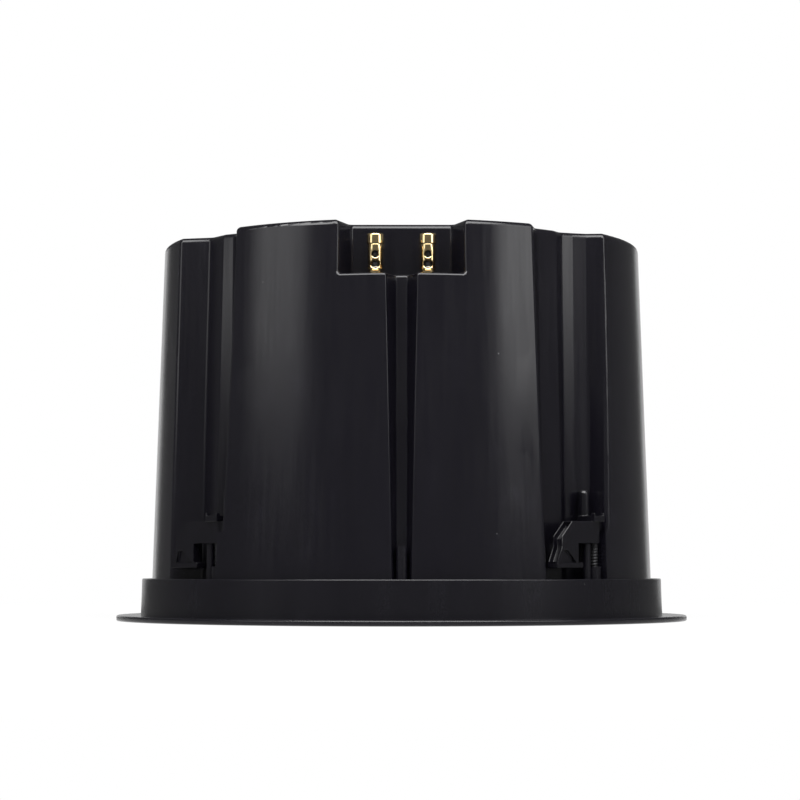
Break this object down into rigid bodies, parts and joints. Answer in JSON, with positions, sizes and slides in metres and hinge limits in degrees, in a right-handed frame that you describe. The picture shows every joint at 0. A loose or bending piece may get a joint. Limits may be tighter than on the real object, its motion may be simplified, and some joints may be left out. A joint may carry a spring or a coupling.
{
  "type": "in-ceiling speaker",
  "caption": "Round in-ceiling speaker with a thin flange, a closed drafted back box, swing-out clamps and gold spring terminals",
  "frame": {"origin": "centre of the flange's front face, on the surface that the speaker stands on", "axes": "+Z from the front face to the back of the box, -Y towards the side with the wire terminals, +X to the right seen from there"},
  "size_m": [0.288, 0.288, 0.188],
  "materials": {
    "frame_plastic": "satin",
    "box_plastic": "satin",
    "clamp_plastic": "satin",
    "trim_plastic": "matte",
    "foam": "matte",
    "black_steel": "black oxide",
    "gold_plating": "polished",
    "spring_steel": "drawn",
    "pressed_steel": "satin",
    "plated_steel": "zinc plated",
    "ferrite": "matte",
    "butyl": "matte",
    "cloth": "woven",
    "cone_plastic": "satin",
    "former_metal": "thin sheet",
    "copper_winding": "enamelled copper",
    "dome_cloth": "coated",
    "board_laminate": "lacquered",
    "capacitor_film": "glossy",
    "resistor_ceramic": "matte"
  },
  "bodies": {
    "speaker": {"mounting_frame": "frame_plastic", "back_box": "box_plastic", "box_gasket": "foam", "box_screws": "black_steel", "terminal_post_left": "gold_plating", "terminal_post_right": "gold_plating", "terminal_spring_left": "spring_steel", "terminal_spring_right": "spring_steel", "terminal_nuts": "gold_plating", "terminal_tags": "gold_plating", "woofer_basket": "pressed_steel", "woofer_gasket": "foam", "woofer_screws": "black_steel", "motor_plate": "plated_steel", "ring_magnet": "ferrite", "motor_yoke": "plated_steel", "woofer_surround": "butyl", "woofer_spider": "cloth", "tweeter_stalk": "plated_steel", "tweeter_housing": "trim_plastic", "tweeter_magnet": "ferrite", "tweeter_face": "trim_plastic", "tweeter_dome": "dome_cloth", "crossover_board": "board_laminate", "crossover_screws": "black_steel", "crossover_inductors": "copper_winding", "crossover_capacitors": "capacitor_film", "crossover_resistor": "resistor_ceramic"},
    "cone_assembly": {"woofer_cone": "cone_plastic", "voice_coil_former": "former_metal", "voice_coil": "copper_winding"},
    "press_cap_left": {"terminal_cap_left": "gold_plating"},
    "press_cap_right": {"terminal_cap_right": "gold_plating"},
    "swing_clamp_1": {"clamp_1": "clamp_plastic"},
    "clamp_bolt_1": {"clamp_screw_1": "black_steel"},
    "swing_clamp_2": {"clamp_2": "clamp_plastic"},
    "clamp_bolt_2": {"clamp_screw_2": "black_steel"},
    "swing_clamp_3": {"clamp_3": "clamp_plastic"},
    "clamp_bolt_3": {"clamp_screw_3": "black_steel"},
    "swing_clamp_4": {"clamp_4": "clamp_plastic"},
    "clamp_bolt_4": {"clamp_screw_4": "black_steel"}
  },
  "joints": [
    {"name": "woofer_stroke", "type": "slide", "parent": "speaker", "child": "cone_assembly", "axis": [0, 0, 1], "range_m": [-0.004, 0.004], "stiffness_N_per_m": 2000, "deforming": ["woofer_surround", "woofer_spider"]},
    {"name": "terminal_press_left", "type": "slide", "parent": "speaker", "child": "press_cap_left", "axis": [0, 0, -1], "range_m": [0, 0.0032], "stiffness_N_per_m": 1500, "deforming": ["terminal_spring_left"]},
    {"name": "terminal_press_right", "type": "slide", "parent": "speaker", "child": "press_cap_right", "axis": [0, 0, -1], "range_m": [0, 0.0032], "stiffness_N_per_m": 1500, "deforming": ["terminal_spring_right"]},
    {"name": "clamp_swing_1", "type": "hinge", "parent": "speaker", "child": "swing_clamp_1", "pos_m": [0.09147, -0.07951, 0.04], "axis": [0, 0, 1], "range_deg": [0, 90]},
    {"name": "clamp_screw_turn_1", "type": "hinge", "parent": "speaker", "child": "clamp_bolt_1", "pos_m": [0.09147, -0.07951, 0.04], "axis": [0, 0, 1], "continuous": true},
    {"name": "clamp_swing_2", "type": "hinge", "parent": "speaker", "child": "swing_clamp_2", "pos_m": [-0.08659, -0.0848, 0.04], "axis": [0, 0, 1], "range_deg": [0, 90]},
    {"name": "clamp_screw_turn_2", "type": "hinge", "parent": "speaker", "child": "clamp_bolt_2", "pos_m": [-0.08659, -0.0848, 0.04], "axis": [0, 0, 1], "continuous": true},
    {"name": "clamp_swing_3", "type": "hinge", "parent": "speaker", "child": "swing_clamp_3", "pos_m": [-0.09147, 0.07951, 0.04], "axis": [0, 0, 1], "range_deg": [0, 90]},
    {"name": "clamp_screw_turn_3", "type": "hinge", "parent": "speaker", "child": "clamp_bolt_3", "pos_m": [-0.09147, 0.07951, 0.04], "axis": [0, 0, 1], "continuous": true},
    {"name": "clamp_swing_4", "type": "hinge", "parent": "speaker", "child": "swing_clamp_4", "pos_m": [0.08659, 0.0848, 0.04], "axis": [0, 0, 1], "range_deg": [0, 90]},
    {"name": "clamp_screw_turn_4", "type": "hinge", "parent": "speaker", "child": "clamp_bolt_4", "pos_m": [0.08659, 0.0848, 0.04], "axis": [0, 0, 1], "continuous": true}
  ]
}
